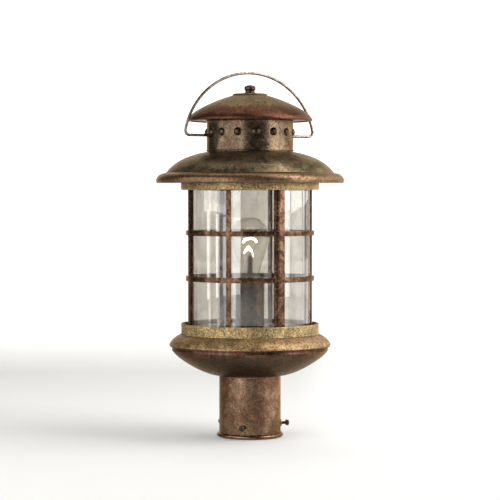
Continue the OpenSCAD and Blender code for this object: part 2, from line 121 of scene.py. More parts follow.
def fillet(points, radius, steps=3):
    """The closed outline with each hard corner rounded."""
    out = []
    count = len(points)
    for i in range(count):
        a, b, c = (np.array(points[(i + k) % count], float) for k in (-1, 0, 1))
        u, w = a - b, c - b
        lu, lw = np.linalg.norm(u), np.linalg.norm(w)
        if lu < 1e-6 or lw < 1e-6:
            continue
        u, w = u / lu, w / lw
        angle = math.acos(max(-1.0, min(1.0, float(u @ w))))
        if math.pi - angle < 0.35 or b[0] < 0.02:
            out.append(tuple(b))
            continue
        cut = min(radius / math.tan(angle / 2), 0.45 * lu, 0.45 * lw)
        for k in range(steps + 1):
            t = k / steps
            p = (1 - t) ** 2 * (b + u * cut) + 2 * t * (1 - t) * b + t * t * (b + w * cut)
            out.append((float(p[0]), float(p[1])))
    return out


def lathe(outline, segments=160):
    """A closed outline of (radius, height) spun about Z."""
    rings = []
    verts, faces = [], []
    for r, z in outline:
        if r < 1e-4:
            verts.append((0, 0, z))
            rings.append([len(verts) - 1] * segments)
        else:
            start = len(verts)
            for s in range(segments):
                a = 2 * math.pi * s / segments
                verts.append((r * math.cos(a), r * math.sin(a), z))
            rings.append(list(range(start, start + segments)))
    for i in range(len(rings)):
        lo, hi = rings[i], rings[(i + 1) % len(rings)]
        for s in range(segments):
            n = (s + 1) % segments
            face = [lo[s], lo[n], hi[n], hi[s]]
            clean = [v for k, v in enumerate(face) if v != face[k - 1]]
            if len(set(clean)) >= 3:
                faces.append(clean)
    return verts, faces


def curve(a, b, c, d, n):
    """n steps along the smooth curve from a to d that the points b and c pull on."""
    pts = []
    for i in range(n + 1):
        t = i / n
        u = 1 - t
        pts.append(tuple(u ** 3 * np.array(a) + 3 * u * u * t * np.array(b)
                         + 3 * u * t * t * np.array(c) + t ** 3 * np.array(d)))
    return pts


def sheet(line, t=1.2):
    """The closed outline of sheet metal whose outside follows the line, drawn upwards."""
    def left(a, b):
        d = (b - a) / np.linalg.norm(b - a)
        return np.array([-d[1], d[0]])

    line = [np.array(p, float) for p in line]
    back = []
    for i, p in enumerate(line):
        before = left(line[max(i - 1, 0)], line[max(i, 1)])
        after = left(line[min(i, len(line) - 2)], line[min(i + 1, len(line) - 1)])
        m = before + after
        back.append(p + 2 * t * m / float(m @ m))
    return [tuple(p) for p in line] + [tuple(p) for p in reversed(back)]


def brick(lo, hi, soft=0.25):
    """A box with softly broken edges."""
    bm = bmesh.new()
    bmesh.ops.create_cube(bm, size=1.0)
    size = [h - l for l, h in zip(lo, hi)]
    for v in bm.verts:
        v.co = Vector([l + (c + 0.5) * s for l, c, s in zip(lo, v.co, size)])
    bmesh.ops.bevel(bm, geom=list(bm.edges), offset=min(soft, min(size) * 0.3), segments=2,
                    affect="EDGES", profile=0.6)
    bm.verts.index_update()
    verts = [tuple(v.co) for v in bm.verts]
    faces = [[v.index for v in f.verts] for f in bm.faces]
    bm.free()
    return verts, faces


def hexnut(flat, bore, z0, z1, twist=0.0):
    """A hexagonal nut with turned corners and a countersunk bore."""
    segments = 72
    corner = flat / math.sqrt(3)
    rows = []
    for z, limit in ((z0, flat / 2 * 0.99), (z0 + 0.35, flat / 2 * 1.06), (z0 + 0.8, corner),
                     (z1 - 0.8, corner), (z1 - 0.35, flat / 2 * 1.06), (z1, flat / 2 * 0.99)):
        row = []
        for s in range(segments):
            a = 2 * math.pi * s / segments + twist
            k = (a - twist + math.pi / 6) % (math.pi / 3) - math.pi / 6
            r = min(flat / 2 / math.cos(k), limit)
            row.append((r * math.cos(a), r * math.sin(a), z))
        rows.append(row)
    for z, r in ((z1, bore + 0.5), (z1 - 0.45, bore), (z0 + 0.45, bore), (z0, bore + 0.5)):
        rows.append([(r * math.cos(2 * math.pi * s / segments + twist),
                      r * math.sin(2 * math.pi * s / segments + twist), z) for s in range(segments)])
    return grid(rows)


def grid(rows, wrap_rows=True):
    """Faces between closed rows of points; the last row joins the first when they wrap."""
    verts = [p for row in rows for p in row]
    n = len(rows[0])
    faces = []
    for i in range(len(rows) if wrap_rows else len(rows) - 1):
        j = (i + 1) % len(rows)
        for s in range(n):
            t = (s + 1) % n
            faces.append([i * n + s, i * n + t, j * n + t, j * n + s])
    return verts, faces


def thread(crest, depth, pitch, z0, z1, segments=48, per_turn=8, cap=True):
    """A screw thread along Z whose crests stay inside the crest radius."""
    steps = max(4, int((z1 - z0) / pitch * per_turn))
    rows = []
    for i in range(steps + 1):
        z = z0 + (z1 - z0) * i / steps
        fade = min(1.0, (z - z0) / (0.6 * pitch) + 0.15, (z1 - z) / (0.6 * pitch) + 0.15)
        row = []
        for s in range(segments):
            a = 2 * math.pi * s / segments
            wave = 0.5 - 0.5 * math.cos(2 * math.pi * (z / pitch) - a)
            wave = wave ** 0.8
            r = crest - depth * (1 - wave * fade)
            row.append((r * math.cos(a), r * math.sin(a), z))
        rows.append(row)
    verts, faces = grid(rows, wrap_rows=False)
    if cap:
        faces.append(list(range(segments)))
        faces.append(list(range(steps * segments, (steps + 1) * segments)))
    return verts, faces


def sweep(path, radius, sides=20):
    """A round wire along a path."""
    path = [Vector(p) for p in path]
    tangent = (path[1] - path[0]).normalized()
    normal = tangent.orthogonal().normalized()
    rows = []
    for i, p in enumerate(path):
        new = (path[min(i + 1, len(path) - 1)] - path[max(i - 1, 0)]).normalized()
        normal = (normal - new * normal.dot(new)).normalized()
        side = new.cross(normal)
        angles = [2 * math.pi * s / sides for s in range(sides)]
        rows.append([tuple(p + radius * (math.cos(a) * normal + math.sin(a) * side)) for a in angles])
    verts, faces = grid(rows, wrap_rows=False)
    faces.append(list(range(sides)))
    faces.append(list(range((len(path) - 1) * sides, len(path) * sides)))
    return verts, faces


def turn_z(degrees):
    return Matrix.Rotation(math.radians(degrees), 4, "Z")


def on_wall(degrees, z):
    """Moves a part spun about Z so that its axis points outwards along a radius, at height z."""
    return turn_z(degrees) @ Matrix.Translation((0, 0, z)) @ Matrix.Rotation(math.radians(90), 4, "Y")


# ---------------------------------------------------------------- finishes


def rgb(r, g, b):
    """A screen colour as linear light."""
    out = []
    for c in (r, g, b):
        c /= 255
        out.append(c / 12.92 if c <= 0.04045 else ((c + 0.055) / 1.055) ** 2.4)
    return (*out, 1.0)


class Nodes:
    """A short way to write a shader tree."""

    def __init__(self, name):
        self.mat = bpy.data.materials.new(name)
        self.mat.use_nodes = True
        self.tree = self.mat.node_tree
        self.tree.nodes.clear()
        self.out = self.tree.nodes.new("ShaderNodeOutputMaterial")
        coords = self.tree.nodes.new("ShaderNodeTexCoord")
        self.mm = self.vec("SCALE", coords.outputs["Object"], scale=1000.0)
        split = self.tree.nodes.new("ShaderNodeSeparateXYZ")
        self.link(self.mm, split.inputs[0])
        self.x, self.y, self.z = split.outputs

    def link(self, source, target):
        self.tree.links.new(source, target)

    def put(self, socket, value):
        if isinstance(value, bpy.types.NodeSocket):
            self.link(value, socket)
        else:
            socket.default_value = value

    def vec(self, how, a, b=None, scale=None):
        n = self.tree.nodes.new("ShaderNodeVectorMath")
        n.operation = how
        self.put(n.inputs[0], a)
        if b is not None:
            self.put(n.inputs[1], b)
        if scale is not None:
            self.put(n.inputs["Scale"], scale)
        return n.outputs[0]

    def math(self, how, a, b=0.0, c=None, clamp=False):
        n = self.tree.nodes.new("ShaderNodeMath")
        n.operation = how
        n.use_clamp = clamp
        self.put(n.inputs[0], a)
        self.put(n.inputs[1], b)
        if c is not None:
            self.put(n.inputs[2], c)
        return n.outputs[0]

    def noise(self, scale, detail=4.0, rough=0.55, stretch=(1, 1, 1), shift=0.0, distort=0.0):
        n = self.tree.nodes.new("ShaderNodeTexNoise")
        p = self.vec("MULTIPLY", self.mm, stretch)
        p = self.vec("ADD", p, (shift * 37.0, shift * 61.0, shift * 23.0))
        self.link(p, n.inputs["Vector"])
        n.inputs["Scale"].default_value = scale
        n.inputs["Detail"].default_value = detail
        n.inputs["Roughness"].default_value = rough
        n.inputs["Distortion"].default_value = distort
        return n.outputs["Fac"]

    def cells(self, scale, shift=0.0):
        n = self.tree.nodes.new("ShaderNodeTexVoronoi")
        self.link(self.vec("ADD", self.mm, (shift * 17.0, shift * 29.0, shift * 11.0)), n.inputs["Vector"])
        n.inputs["Scale"].default_value = scale
        return n.outputs["Distance"]

    def ramp(self, value, lo, hi, a=0.0, b=1.0):
        n = self.tree.nodes.new("ShaderNodeMapRange")
        n.interpolation_type = "SMOOTHSTEP"
        self.put(n.inputs["Value"], value)
        n.inputs["From Min"].default_value = lo
        n.inputs["From Max"].default_value = hi
        n.inputs["To Min"].default_value = a
        n.inputs["To Max"].default_value = b
        return n.outputs["Result"]

    def mix(self, fac, a, b):
        n = self.tree.nodes.new("ShaderNodeMix")
        n.data_type = "RGBA"
        self.put(n.inputs[0], fac)
        self.put(n.inputs[6], a)
        self.put(n.inputs[7], b)
        return n.outputs[2]

    def bump(self, height, strength, distance):
        n = self.tree.nodes.new("ShaderNodeBump")
        n.inputs["Strength"].default_value = strength
        n.inputs["Distance"].default_value = distance * MM
        self.link(height, n.inputs["Height"])
        return n.outputs["Normal"]

    def principled(self, **values):
        n = self.tree.nodes.new("ShaderNodeBsdfPrincipled")
        for key, value in values.items():
            self.put(n.inputs[key.replace("_", " ")], value)
        self.link(n.outputs[0], self.out.inputs["Surface"])


FLECK, PALE_SHARE, SPUN = rgb(24, 16, 11), 0.3, 0.5


def patina(name, light, dark, warm, pale=None, rough=0.36, metal=0.9, seed=0.0, warm_share=0.5,
           fleck_share=0.5, zone=None, drips=0.3, scale=1.0, grit=0.22):
    """Weathered copper or bronze: two mottled tones, warm oxide clouds, fine dark flecks and pale bloom.
    zone is (lower height, upper height, colour below, strength) for a height-dependent tone."""
    t = Nodes(name)
    cloud = t.noise(0.045 * scale, 5, 0.6, shift=seed, distort=0.4)
    patch = t.noise(0.16 * scale, 5, 0.62, shift=seed + 1.3)
    grain = t.noise(0.9, 3, 0.6, shift=seed + 2.1)
    colour = t.mix(t.ramp(t.math("ADD", t.math("MULTIPLY", cloud, 0.6), t.math("MULTIPLY", patch, 0.4)),
                          0.40, 0.62), dark, light)
    if zone:
        low, high, below, amount = zone
        edge = t.math("ADD", t.z, t.math("MULTIPLY", t.math("SUBTRACT", patch, 0.5), 9.0))
        colour = t.mix(t.ramp(edge, low, high, amount, 0.0), colour, below)
    warmth = t.ramp(t.noise(0.10 * scale, 6, 0.65, shift=seed + 3.7), 0.50, 0.66, 0.0, warm_share)
    colour = t.mix(warmth, colour, warm)
    if drips > 0:
        streak = t.noise(0.30, 4, 0.6, stretch=(1, 1, 0.12), shift=seed + 5.2)
        colour = t.mix(t.ramp(streak, 0.48, 0.70, 0.0, drips), colour, dark)
    if pale:
        bloom = t.math("MULTIPLY", t.ramp(grain, 0.50, 0.66), t.ramp(patch, 0.46, 0.62, 0.0, PALE_SHARE))
        colour = t.mix(bloom, colour, pale)
    spots = t.ramp(t.noise(0.50, 5, 0.75, shift=seed + 7.7), 0.53, 0.60)
    pits = t.ramp(t.cells(0.36, seed), 0.34, 0.20)
    gate = t.ramp(t.noise(0.12, 3, 0.6, shift=seed + 9.1), 0.34, 0.56, 0.45, 1.0)
    flecks = t.math("MULTIPLY", t.math("MAXIMUM", spots, t.math("MULTIPLY", pits, 0.8)), gate)
    colour = t.mix(t.math("MULTIPLY", flecks, fleck_share), colour, FLECK)
    mottle = t.ramp(t.noise(0.42, 4, 0.72, shift=seed + 11.3), 0.42, 0.60, 1.0 - grit, 1.0 + grit)
    colour = t.vec("SCALE", colour, scale=mottle)
    ripple = t.noise(1.0, 3, 0.6, stretch=(0.02, 0.02, 1.3), shift=seed)
    dents = t.noise(0.035, 2, 0.5, shift=seed + 4.0)
    height = t.math("ADD", t.math("MULTIPLY", ripple, 0.10 * SPUN),
                    t.math("ADD", t.math("MULTIPLY", grain, 0.06),
                           t.math("ADD", t.math("MULTIPLY", dents, 1.0), t.math("MULTIPLY", flecks, -0.05))))
    rough_value = t.math("ADD", t.math("MULTIPLY", t.math("SUBTRACT", patch, 0.5), 0.30),
                         t.math("ADD", rough, t.math("MULTIPLY", flecks, 0.18)), clamp=True)
    t.principled(Base_Color=colour, Metallic=metal, Roughness=rough_value, Specular_Tint=rgb(218, 202, 184),
                 Normal=t.bump(height, 0.8, 0.6))
    return t.mat


def bright_metal(name, base, dull, rough, seed):
    """Plated or bare metal with handling marks."""
    t = Nodes(name)
    cloud = t.noise(0.12, 4, 0.6, shift=seed)
    scratch = t.noise(1.8, 3, 0.6, stretch=(1, 1, 0.08), shift=seed + 2)
    colour = t.mix(t.ramp(cloud, 0.42, 0.62), base, dull)
    colour = t.mix(t.ramp(scratch, 0.56, 0.70, 0.0, 0.35), colour, dull)
    wear = t.math("MULTIPLY", t.math("SUBTRACT", scratch, 0.5), 0.25)
    t.principled(Base_Color=colour, Metallic=1.0, Roughness=t.math("ADD", rough, wear, clamp=True),
                 Normal=t.bump(scratch, 0.25, 0.06))
    return t.mat


def plain_solid(name, base, dull, rough, seed, coat=0.0):
    """Ceramic, rubber or plastic with slight soiling."""
    t = Nodes(name)
    cloud = t.noise(0.2, 5, 0.6, shift=seed)
    grain = t.noise(2.2, 3, 0.6, shift=seed + 1)
    colour = t.mix(t.ramp(cloud, 0.45, 0.68), base, dull)
    t.principled(Base_Color=colour, Roughness=t.math("ADD", rough, t.math("MULTIPLY", grain, 0.12)),
                 Coat_Weight=coat, Coat_Roughness=0.08, Normal=t.bump(grain, 0.25, 0.05))
    return t.mat


def glass(name, tint, gloss, straight, seed, dust, frosted=False):
    """Clear glass: light passes straight through with a slight tint, and the surface mirrors by angle.
    straight is the share mirrored head on, gloss scales it, dust is the share of haze, and a frosted
    haze lets the light of the filament through."""
    t = Nodes(name)
    waver = t.noise(0.03, 2, 0.5, stretch=(1, 1, 0.35), shift=seed)
    film = t.noise(0.09, 5, 0.6, stretch=(1, 1, 0.5), shift=seed + 3)
    normal = t.bump(waver, 0.3, 0.7)
    clear = t.tree.nodes.new("ShaderNodeBsdfTransparent")
    smeared = tuple(c * 0.93 for c in tint[:3]) + (1.0,)
    t.put(clear.inputs["Color"], t.mix(t.ramp(film, 0.40, 0.70), tint, smeared))
    mirror = t.tree.nodes.new("ShaderNodeBsdfGlossy")
    mirror.inputs["Color"].default_value = (1, 1, 1, 1)
    t.put(mirror.inputs["Roughness"], t.ramp(film, 0.35, 0.75, 0.02, 0.07))
    t.put(mirror.inputs["Normal"], normal)
    angle = t.tree.nodes.new("ShaderNodeLayerWeight")
    angle.inputs["Blend"].default_value = 0.5
    t.put(angle.inputs["Normal"], normal)
    share = t.math("MULTIPLY_ADD", t.math("POWER", angle.outputs["Facing"], 5.0), 1.0 - straight, straight)
    haze = t.tree.nodes.new("ShaderNodeBsdfTranslucent" if frosted else "ShaderNodeBsdfDiffuse")
    haze.inputs["Color"].default_value = rgb(232, 228, 220)
    first = t.tree.nodes.new("ShaderNodeMixShader")
    t.put(first.inputs[0], t.math("MULTIPLY", share, gloss, clamp=True))
    t.link(clear.outputs[0], first.inputs[1])
    t.link(mirror.outputs[0], first.inputs[2])
    second = t.tree.nodes.new("ShaderNodeMixShader")
    t.put(second.inputs[0], t.ramp(film, 0.40, 0.75, dust * 0.4, dust))
    t.link(first.outputs[0], second.inputs[1])
    t.link(haze.outputs[0], second.inputs[2])
    t.link(second.outputs[0], t.out.inputs["Surface"])
    return t.mat


def glow(name, strength):
    """The hot filament, a little uneven in colour."""
    t = Nodes(name)
    n = t.tree.nodes.new("ShaderNodeEmission")
    heat = t.noise(0.8, 2, 0.5)
    t.put(n.inputs["Color"], t.mix(heat, rgb(255, 214, 160), rgb(255, 240, 214)))
    n.inputs["Strength"].default_value = strength
    t.link(n.outputs[0], t.out.inputs["Surface"])
    return t.mat


cap_low = bottom("cap")
roof_low = bottom("roof")
FINISH = {
    "collar_copper": patina("collar_copper", rgb(150, 122, 98), rgb(102, 76, 60), rgb(124, 76, 58),
                            rough=0.25, metal=1.0, grit=0.13, seed=1, fleck_share=0.6, drips=0.4),
    "bowl_copper": patina("bowl_copper", rgb(106, 84, 68), rgb(68, 51, 43), rgb(116, 68, 54), rough=0.32,
                          seed=2, zone=(103.0, 113.0, rgb(72, 65, 54), 0.9),
                          fleck_share=0.7, warm_share=0.75),
    "shoulder_bronze": patina("shoulder_bronze", rgb(178, 148, 106), rgb(136, 108, 74), rgb(146, 90, 58),
                              pale=rgb(206, 188, 142), rough=0.46, metal=0.6, seed=3,
                              fleck_share=0.9, drips=0.2, grit=0.3),
    "band_verdigris": patina("band_verdigris", rgb(204, 174, 122), rgb(142, 130, 96), rgb(178, 122, 74),
                             pale=rgb(206, 194, 148), rough=0.46, metal=0.7, seed=4,
                             fleck_share=0.95, drips=0.25, grit=0.32),
    "bar_bronze": patina("bar_bronze", rgb(130, 102, 80), rgb(68, 44, 34), rgb(108, 60, 44), rough=0.26,
                         seed=5, fleck_share=0.5, scale=2.0, grit=0.12, drips=0.6),
    "roof_bronze": patina("roof_bronze", rgb(130, 115, 86), rgb(80, 71, 53), rgb(124, 80, 55),
                          pale=rgb(146, 134, 98), rough=0.31, metal=0.85, seed=6,
                          zone=(roof_low + 9.0, roof_low + 15.0, rgb(126, 97, 74), 0.8), fleck_share=0.85),
    "chimney_bronze": patina("chimney_bronze", rgb(130, 111, 90), rgb(88, 73, 59), rgb(114, 80, 60), rough=0.26,
                             metal=1.0, seed=7, fleck_share=0.5, grit=0.13),
    "cap_bronze": patina("cap_bronze", rgb(138, 118, 84), rgb(102, 86, 60), rgb(122, 76, 52),
                         pale=rgb(146, 130, 94), rough=0.36, metal=0.8, seed=8,
                         zone=(cap_low + 14.0, cap_low + 20.0, rgb(80, 43, 33), 0.94), fleck_share=0.8),
    "dark_bronze": patina("dark_bronze", rgb(100, 86, 74), rgb(52, 43, 36), rgb(84, 56, 44), rough=0.23,
                          seed=9, scale=2.5, drips=0.1),
    "wire_bronze": patina("wire_bronze", rgb(172, 160, 146), rgb(112, 101, 88), rgb(128, 98, 78), rough=0.25,
                          seed=10, scale=2.0, drips=0.0),
    "sleeve_bronze": patina("sleeve_bronze", rgb(132, 102, 64), rgb(70, 52, 32), rgb(98, 62, 38), rough=0.30,
                            seed=11, drips=0.3),
    "plate_metal": bright_metal("plate_metal", rgb(186, 182, 174), rgb(148, 140, 128), 0.28, 12),
    "zinc_steel": bright_metal("zinc_steel", rgb(180, 180, 178), rgb(136, 132, 126), 0.32, 13),
    "bare_brass": bright_metal("bare_brass", rgb(206, 172, 104), rgb(160, 126, 72), 0.30, 14),
    "earth_green": plain_solid("earth_green", rgb(40, 96, 54), rgb(30, 74, 44), 0.42, 15),
    "porcelain": plain_solid("porcelain", rgb(222, 216, 202), rgb(194, 184, 164), 0.18, 16, coat=0.6),
    "clear_glass": glass("clear_glass", (0.835, 0.82, 0.79, 1.0), 1.7, 0.06, 17, 0.012),
    "lamp_glass": glass("lamp_glass", (0.985, 0.985, 0.98, 1.0), 1.0, 0.05, 18, 0.035, frosted=True),
    "lamp_base_metal": bright_metal("lamp_base_metal", rgb(206, 200, 188), rgb(164, 152, 132), 0.26, 19),
    "black_insulator": plain_solid("black_insulator", rgb(22, 21, 20), rgb(36, 33, 30), 0.22, 20, coat=0.4),
    "filament_wire": glow("filament_wire", 220.0),
    "gasket_rubber": plain_solid("gasket_rubber", rgb(40, 38, 36), rgb(58, 54, 48), 0.62, 21),
}
for name, node in frame["nodes"].items():
    slot = next(s["material_slot"] for s in frame["record"]["subparts"] if s["node"] == name)
    node.data.materials.clear()
    node.data.materials.append(FINISH[slot])

# ---------------------------------------------------------------- collar and set screws

collar_top, bore_r, wall_r = top("post_collar"), 38.6, 39.8
mouth_bead, bead_r = 5.5, 43.0
flange_z, flange_r = 81.0, 42.4
roll = [(wall_r + (bead_r - wall_r) * math.cos(a), mouth_bead / 2 * (1 + math.sin(a)))
        for a in np.linspace(-math.pi / 2, math.pi / 2, 17)]
collar_line = [(bore_r, 0.15), (bore_r + 0.15, 0.0)] + roll + [(wall_r, 6.4)] + [
    (wall_r, z) for z in np.linspace(12, 76, 12)] + fillet(
    [(wall_r, 78.0), (wall_r, flange_z), (flange_r, flange_z), (flange_r, collar_top), (bore_r, collar_top),
     (bore_r, 78.0)], 0.3)[1:-1]
collar = make("collar_shell", *lathe(collar_line, 192), "collar_copper", "base", ["post_collar"])
shape = Shape()
screw_angles = {"set_screw_right": -7.5, "set_screw_back": 112.5, "set_screw_left": 232.5}
screw_z = (top("set_screw_right") + bottom("set_screw_right")) / 2
boss = fillet([(2.2, 39.0), (4.8, 39.0), (4.8, 42.4), (2.2, 42.4)], 0.5)
hole = lathe([(0, 36.0), (2.3, 36.0), (2.3, 41.0), (0, 41.0)], 40)
drill(collar, [Shape().add(*hole, on_wall(degrees, screw_z)) for degrees in screw_angles.values()])
for degrees in screw_angles.values():
    shape.add(*lathe(boss, 40), on_wall(degrees, screw_z))
    weld = [(4.6 + 0.45 * math.cos(a), 40.0 + 0.45 * math.sin(a))
            for a in np.linspace(0, 2 * math.pi, 12)[:-1]]
    shape.add(*lathe(weld, 40), on_wall(degrees, screw_z))
make("collar_bosses", shape.verts, shape.faces, "collar_copper", "base", ["collar_screw_bosses"])


def slotted_head(radius, base, height, slot_w, slot_d):
    """A flat screw head along Z with a sawn slot across X: two half rounds and the slot's floor."""
    shape = Shape()
    soft = 0.35
    for side in (1, -1):
        edge = math.asin(slot_w / 2 / radius)
        angles = np.linspace(edge, math.pi - edge, 22)
        rows = []
        for z, inset in ((base, 0.0), (base + height - soft, 0.0), (base + height - soft * 0.4, soft * 0.35),
                         (base + height, soft)):
            k = (radius - inset) / radius
            rows.append([(radius * math.cos(a) * k, side * max(radius * math.sin(a) * k, slot_w / 2), z)
                         for a in angles])
        n = len(angles)
        verts = [p for row in rows for p in row]
        faces = [[i * n + s, i * n + s + 1, (i + 1) * n + s + 1, (i + 1) * n + s]
                 for i in range(3) for s in range(n - 1)]
        faces.append(list(range(3 * n, 4 * n)))
        faces.append(list(range(n)))
        faces.append([0, n - 1, 2 * n - 1, 3 * n - 1, 4 * n - 1, 3 * n, 2 * n, n])
        shape.add(verts, faces)
    sill = base + height - slot_d
    return shape.add(*lathe([(0, base), (radius - 0.02, base), (radius - 0.02, sill), (0, sill)], 48))


for name, degrees in screw_angles.items():
    shape = Shape()
    place = on_wall(degrees, screw_z)
    shape.add(*thread(2.0, 0.32, 0.8, 39.0, 49.6, 28, 8), place)
    head = slotted_head(3.7, 49.4, 3.2, 1.0, 1.4)
    shape.add(head.verts, head.faces, place)
    make(name + "_part", shape.verts, shape.faces, "dark_bronze", name, [name])

# ---------------------------------------------------------------- bowl, shoulder and floor

rim_r, bowl_r = 104.0, 100.7
side = curve((wall_r + 0.05, 79.4), (62.4, 79.1), (bowl_r + 3.9, 108.3), (bowl_r, 114.0), 40)
outline = sheet(side + [(bowl_r - 0.05, 116.4), (bowl_r + 0.7, 117.1), (rim_r - 0.2, 117.1)])
make("bowl_shell", *lathe(outline, 224), "bowl_copper", "base", ["lower_bowl"])
ledge_z = top("upper_shoulder")
lip = [(rim_r - 0.5, 118.3), (rim_r + 0.0, 118.45), (rim_r + 0.2, 118.9)]
slope = curve((rim_r + 0.1, 119.7), (101.8, 124.3), (98.8, 127.9), (90.7, 132.0), 24)
outline = sheet(lip + slope + [(89.5, ledge_z), (79.0, ledge_z)])
make("shoulder_shell", *lathe(outline, 224), "shoulder_bronze", "base", ["upper_shoulder"])
pan_z, seat_z = top("floor_pan"), 133.6
outline = fillet([(5.2, pan_z), (5.2, pan_z - 1.2), (75.3, pan_z - 1.2), (75.3, 132.4),
                  (86.4, 132.4), (86.4, seat_z), (76.5, seat_z), (76.5, pan_z)], 1.0, 4)
make("floor_plate", *lathe(outline, 160), "plate_metal", "base", ["floor_pan"])

# ---------------------------------------------------------------- cage

band_r, band_in, lower_top, upper_low, cage_top = 89.1, 86.6, 146.6, 318.4, 327.0
outline = fillet([(band_in, 132.45), (band_r, 132.45), (band_r, 134.0),
                  (band_r - 0.25, 134.5), (band_r - 0.25, 143.6), (band_r, 144.1),
                  (band_r, lower_top), (band_in, lower_top)], 0.9, 5)
make("gallery_low", *lathe(outline, 224), "band_verdigris", "base", ["lower_gallery_band"])
outline = fillet([(band_in, upper_low), (band_r - 0.9, upper_low), (band_r, upper_low + 1.2),
                  (band_r, cage_top), (77.6, cage_top), (77.6, cage_top - 1.2), (band_in, cage_top - 1.2)], 0.4, 3)
make("gallery_high", *lathe(outline, 224), "band_verdigris", "base", ["upper_gallery_band"])

hoop_out, hoop_in, hoop_half = 83.2, 81.5, 3.2
hoops = {n: (top(n) + bottom(n)) / 2 for n in ("hoop_lower", "hoop_upper")}
for node, mid in hoops.items():
    lo, hi = mid - hoop_half, mid + hoop_half
    outline = fillet([(hoop_in + 0.02, lo), (hoop_out, lo), (hoop_out, hi), (hoop_in + 0.02, hi)], 0.4, 3)
    make(node + "_ring", *lathe(outline, 224), "bar_bronze", "base", [node])
for i, degrees in enumerate((45, 135, 225, 315), 1):
    shape = Shape()
    shape.add(*brick((81.55, -3, seat_z), (83.15, 3, cage_top - 1.2), 0.35), turn_z(degrees))
    for mid in hoops.values():
        for s, z in [(s * 3.05, mid + k * hoop_half) for s in (-1, 1) for k in (-1, 1)]:
            shape.add(*sweep([(83.0, s - math.copysign(0.9, s), z), (83.0, s, z)], 0.28, 8), turn_z(degrees))
    make(f"thin_bar_{i}", shape.verts, shape.faces, "bar_bronze", "base", [f"muntin_{i}"])
for node, degrees in (("post_right", 0), ("post_back", 90), ("post_left", 180), ("post_front", 270)):
    shape = Shape()
    shape.add(*brick((83.22, -7.5, seat_z), (84.4, 7.5, cage_top - 1.2), 0.35), turn_z(degrees))
    shape.add(*brick((84.0, -3.35, seat_z), (85.5, 3.35, cage_top - 1.2), 0.35), turn_z(degrees))
    for lo, hi in ((seat_z, 143.6), (upper_low + 2.0, cage_top - 1.2)):
        shape.add(*brick((83.25, -5, lo), (86.2, 5, hi), 0.3), turn_z(degrees))
    for mid in hoops.values():
        for y in (-5.5, 5.5):
            pin = fillet([(0, 83.4), (1.0, 83.4), (1.0, 84.75), (0, 84.85)], 0.3)
            shape.add(*lathe(pin, 20), turn_z(degrees) @ Matrix.Translation((0, y, mid)) @ Matrix.Rotation(
                math.radians(90), 4, "Y"))
    make(node + "_bar", shape.verts, shape.faces, "bar_bronze", "base", [node])

glass_lo, glass_hi = bottom("glass_cylinder"), top("glass_cylinder")
outline = fillet([(78, glass_lo), (81, glass_lo), (81, glass_hi), (78, glass_hi)], 0.6, 3)
make("glass_tube", *lathe(outline, 224), "clear_glass", "base", ["glass_cylinder"])

# ---------------------------------------------------------------- rod and nuts

shape = Shape()
shape.add(*hexnut(11.1, 3.2, 324.0, 327.0, 0.3))
shape.add(*hexnut(11.1, 3.2, 329.4, 332.4, 0.7))
make("rod_hex_nuts", shape.verts, shape.faces, "zinc_steel", "base", ["rod_nuts"])
shape = Shape()
shape.add(*thread(3.15, 0.32, 0.94, 323.0, 344.0, 32, 8))
shape.add(*lathe(fillet([(0, 343.9), (3.05, 343.9), (3.05, 426.0), (0, 426.0)], 0.2), 40))
shape.add(*thread(3.15, 0.32, 0.94, 425.9, 451.2, 32, 8))
make("threaded_rod", shape.verts, shape.faces, "zinc_steel", "base", ["centre_rod"])
shape = Shape()
for z0 in (84.6, 137.8, 142.0):
    shape.add(*hexnut(15.0, 5.15, z0, z0 + 3.0, z0 * 0.1))
make("stem_hex_nuts", shape.verts, shape.faces, "zinc_steel", "base", ["stem_nuts"])

# ---------------------------------------------------------------- lamp holder and lamp

outline = fillet([(17.32, 142.02), (18.5, 142.02), (18.5, 205.0), (16.3, 205.0), (16.3, 204.0),
                  (17.32, 204.0)], 0.7, 4)
make("holder_sleeve", *lathe(outline, 128), "sleeve_bronze", "base", ["socket_sleeve"])
outline = fillet([(5.4, 157.0), (17.0, 157.0), (17.0, 201.0), (13.75, 201.0), (13.75, 178.0),
                  (0, 178.0), (0, 161.0), (5.4, 161.0)], 0.8, 4)
make("holder_porcelain", *lathe(outline, 96), "porcelain", "base", ["porcelain_socket"])
shape = Shape()
shape.add(*thread(13.0, 0.9, 3.63, 187.8, 206.6, 64, 12, cap=False))
shape.add(*lathe(fillet([(9.3, 184.6), (9.5, 184.6), (12.4, 187.5), (12.1, 188.2), (9.3, 185.6)], 0.2), 64))
shape.add(*lathe(fillet([(12.0, 206.2), (12.9, 206.2), (12.9, 207.5), (12.0, 207.5)], 0.3), 64))
make("lamp_screw_base", shape.verts, shape.faces, "lamp_base_metal", "lamp", ["lamp_base"])

bulb_r, bulb_top, bulb_wall = 25.0, 283.5, 0.8
mid_z = bulb_top - bulb_r
crown = [(bulb_r * math.cos(math.radians(a)), mid_z + bulb_r * math.sin(math.radians(a)))
         for a in range(5, 86, 5)]
flank = curve((12.0, 201.5), (12.0, 226.0), (bulb_r, 238.0), (bulb_r, mid_z), 24)
outer = flank + crown + [(0.0, bulb_top)]
inner = [(0.0, bulb_top - bulb_wall)] + [
    (max(r - bulb_wall, 0.0), z if z < mid_z else mid_z + (z - mid_z) * (bulb_r - bulb_wall) / bulb_r)
    for r, z in reversed(flank + crown)]
make("lamp_envelope", *lathe(outer + inner, 96), "lamp_glass", "lamp", ["lamp_glass"])
shape = Shape()
flare = [(0.0, 190.0), (7.0, 190.0), (7.0, 200.0)] + curve(
    (7.0, 200.0), (6.6, 207.0), (3.2, 208.0), (3.0, 216.0), 10) + [
    (3.0, 230.0), (2.2, 233.0), (0.0, 234.0)]
shape.add(*lathe(flare, 40))
